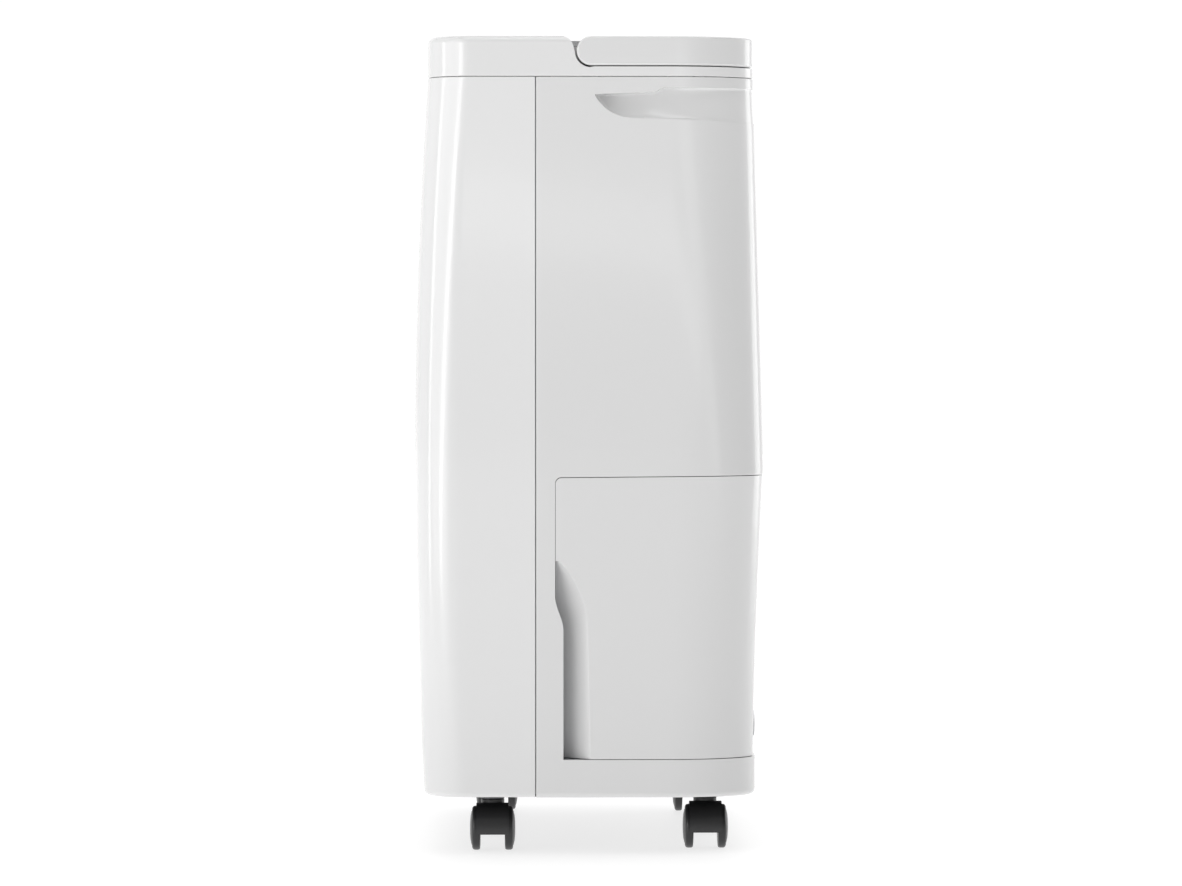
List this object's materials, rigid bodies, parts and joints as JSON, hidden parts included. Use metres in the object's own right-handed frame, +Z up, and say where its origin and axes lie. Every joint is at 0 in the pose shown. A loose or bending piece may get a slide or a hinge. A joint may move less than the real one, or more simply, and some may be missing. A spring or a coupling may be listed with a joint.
{
  "type": "dehumidifier",
  "caption": "Upright compressor dehumidifier with a slide-out rear water tank, fold-up U carry handle, top louver and controls, rear intake grille and swivel casters",
  "frame": {"origin": "on the floor under the middle of the cabinet's footprint", "axes": "+Z up; +Y towards the rear, where the tank slides out; the smooth front faces -Y; X across the width"},
  "size_m": [0.36, 0.2532, 0.59],
  "materials": {
    "white_shell": "smooth glossy neutral white moulding",
    "grey_trim": "fine-grained mid grey moulding",
    "black_plastic": "satin black moulding",
    "smoked_panel": "polished dark smoked cover",
    "bright_steel": "plain turned steel",
    "copper_pipe": "drawn copper, lightly tarnished",
    "coil_fins": "thin aluminium fins",
    "compressor_enamel": "black enamelled steel shell",
    "circuit_board": "green circuit board with dark components",
    "filter_net": "fine dark nylon net",
    "mount_rubber": "black rubber",
    "float_foam": "closed-cell foam",
    "zinc_sheet": "plain drawn can"
  },
  "bodies": {
    "cabinet": {"front_cover": "white_shell", "rear_housing": "white_shell", "top_collar": "white_shell", "tank_bay": "grey_trim", "top_deck": "grey_trim", "fan_casing": "grey_trim", "drip_tray": "grey_trim", "base_pan": "black_plastic", "level_switch": "black_plastic", "outlet_grille": "black_plastic", "cord_gland": "black_plastic", "control_panel": "smoked_panel", "display_lens": "smoked_panel", "status_lens": "smoked_panel", "handle_pin_left": "bright_steel", "handle_pin_right": "bright_steel", "fan_motor": "bright_steel", "louver_motor": "bright_steel", "discharge_pipe": "copper_pipe", "suction_pipe": "copper_pipe", "evaporator": "coil_fins", "condenser": "coil_fins", "compressor": "compressor_enamel", "control_board": "circuit_board", "grommet_a": "mount_rubber", "grommet_b": "mount_rubber", "grommet_c": "mount_rubber", "run_capacitor": "zinc_sheet"},
    "handle": {"carry_handle": "white_shell"},
    "tank": {"water_tank": "white_shell", "tank_lid": "grey_trim", "drain_cap": "grey_trim"},
    "float": {"tank_float": "float_foam"},
    "louver": {"louver_flap": "grey_trim"},
    "intake": {"intake_grille": "white_shell", "filter_frame": "grey_trim", "filter_mesh": "filter_net"},
    "fan": {"fan_wheel": "black_plastic", "fan_shaft": "bright_steel"},
    "button_power": {"button_power": "grey_trim"},
    "button_humidity": {"button_humidity": "grey_trim"},
    "button_timer": {"button_timer": "grey_trim"},
    "button_fan_speed": {"button_fan_speed": "grey_trim"},
    "button_swing": {"button_swing": "grey_trim"},
    "caster_front_right": {"caster_stem_front_right": "bright_steel", "caster_hood_front_right": "black_plastic"},
    "wheel_front_right_rear": {"caster_wheel_front_right_rear": "black_plastic"},
    "wheel_front_right_front": {"caster_wheel_front_right_front": "black_plastic"},
    "caster_front_left": {"caster_stem_front_left": "bright_steel", "caster_hood_front_left": "black_plastic"},
    "wheel_front_left_rear": {"caster_wheel_front_left_rear": "black_plastic"},
    "wheel_front_left_front": {"caster_wheel_front_left_front": "black_plastic"},
    "caster_rear_right": {"caster_stem_rear_right": "bright_steel", "caster_hood_rear_right": "black_plastic"},
    "wheel_rear_right_rear": {"caster_wheel_rear_right_rear": "black_plastic"},
    "wheel_rear_right_front": {"caster_wheel_rear_right_front": "black_plastic"},
    "caster_rear_left": {"caster_stem_rear_left": "bright_steel", "caster_hood_rear_left": "black_plastic"},
    "wheel_rear_left_rear": {"caster_wheel_rear_left_rear": "black_plastic"},
    "wheel_rear_left_front": {"caster_wheel_rear_left_front": "black_plastic"}
  },
  "joints": [
    {"name": "handle_fold", "type": "hinge", "parent": "cabinet", "child": "handle", "pos_m": [0, 0.001, 0.57915], "axis": [1, 0, 0], "range_deg": [0, 90]},
    {"name": "tank_slide", "type": "slide", "parent": "cabinet", "child": "tank", "axis": [0, 1, 0], "range_m": [0, 0.18]},
    {"name": "float_swing", "type": "hinge", "parent": "tank", "child": "float", "pos_m": [0.12, 0.01, 0.254], "axis": [1, 0, 0], "range_deg": [-20, 20]},
    {"name": "louver_tilt", "type": "hinge", "parent": "cabinet", "child": "louver", "pos_m": [0, 0.074, 0.585], "axis": [-1, 0, 0], "range_deg": [0, 70]},
    {"name": "intake_tilt", "type": "hinge", "parent": "cabinet", "child": "intake", "pos_m": [0, 0.126, 0.29], "axis": [-1, 0, 0], "range_deg": [0, 35]},
    {"name": "fan_spin", "type": "hinge", "parent": "cabinet", "child": "fan", "pos_m": [0, 0.033, 0.41], "axis": [0, 1, 0], "continuous": true},
    {"name": "press_power", "type": "slide", "parent": "cabinet", "child": "button_power", "axis": [0, 0, -1], "range_m": [0, 0.0012], "stiffness_N_per_m": 300},
    {"name": "press_humidity", "type": "slide", "parent": "cabinet", "child": "button_humidity", "axis": [0, 0, -1], "range_m": [0, 0.0012], "stiffness_N_per_m": 300},
    {"name": "press_timer", "type": "slide", "parent": "cabinet", "child": "button_timer", "axis": [0, 0, -1], "range_m": [0, 0.0012], "stiffness_N_per_m": 300},
    {"name": "press_fan_speed", "type": "slide", "parent": "cabinet", "child": "button_fan_speed", "axis": [0, 0, -1], "range_m": [0, 0.0012], "stiffness_N_per_m": 300},
    {"name": "press_swing", "type": "slide", "parent": "cabinet", "child": "button_swing", "axis": [0, 0, -1], "range_m": [0, 0.0012], "stiffness_N_per_m": 300},
    {"name": "swivel_front_right", "type": "hinge", "parent": "cabinet", "child": "caster_front_right", "pos_m": [0.1335, -0.0705, 0.0412], "axis": [0, 0, 1], "continuous": true},
    {"name": "roll_front_right_rear", "type": "hinge", "parent": "caster_front_right", "child": "wheel_front_right_rear", "pos_m": [0.1415, -0.0616, 0.016], "axis": [0, 1, 0], "continuous": true},
    {"name": "roll_front_right_front", "type": "hinge", "parent": "caster_front_right", "child": "wheel_front_right_front", "pos_m": [0.1415, -0.0794, 0.016], "axis": [0, 1, 0], "continuous": true},
    {"name": "swivel_front_left", "type": "hinge", "parent": "cabinet", "child": "caster_front_left", "pos_m": [-0.1335, -0.0705, 0.0412], "axis": [0, 0, 1], "continuous": true},
    {"name": "roll_front_left_rear", "type": "hinge", "parent": "caster_front_left", "child": "wheel_front_left_rear", "pos_m": [-0.1415, -0.0616, 0.016], "axis": [0, 1, 0], "continuous": true},
    {"name": "roll_front_left_front", "type": "hinge", "parent": "caster_front_left", "child": "wheel_front_left_front", "pos_m": [-0.1415, -0.0794, 0.016], "axis": [0, 1, 0], "continuous": true},
    {"name": "swivel_rear_right", "type": "hinge", "parent": "cabinet", "child": "caster_rear_right", "pos_m": [0.1215, 0.085, 0.0412], "axis": [0, 0, 1], "continuous": true},
    {"name": "roll_rear_right_rear", "type": "hinge", "parent": "caster_rear_right", "child": "wheel_rear_right_rear", "pos_m": [0.1295, 0.0939, 0.016], "axis": [0, 1, 0], "continuous": true},
    {"name": "roll_rear_right_front", "type": "hinge", "parent": "caster_rear_right", "child": "wheel_rear_right_front", "pos_m": [0.1295, 0.0761, 0.016], "axis": [0, 1, 0], "continuous": true},
    {"name": "swivel_rear_left", "type": "hinge", "parent": "cabinet", "child": "caster_rear_left", "pos_m": [-0.1215, 0.085, 0.0412], "axis": [0, 0, 1], "continuous": true},
    {"name": "roll_rear_left_rear", "type": "hinge", "parent": "caster_rear_left", "child": "wheel_rear_left_rear", "pos_m": [-0.1295, 0.0939, 0.016], "axis": [0, 1, 0], "continuous": true},
    {"name": "roll_rear_left_front", "type": "hinge", "parent": "caster_rear_left", "child": "wheel_rear_left_front", "pos_m": [-0.1295, 0.0761, 0.016], "axis": [0, 1, 0], "continuous": true}
  ]
}
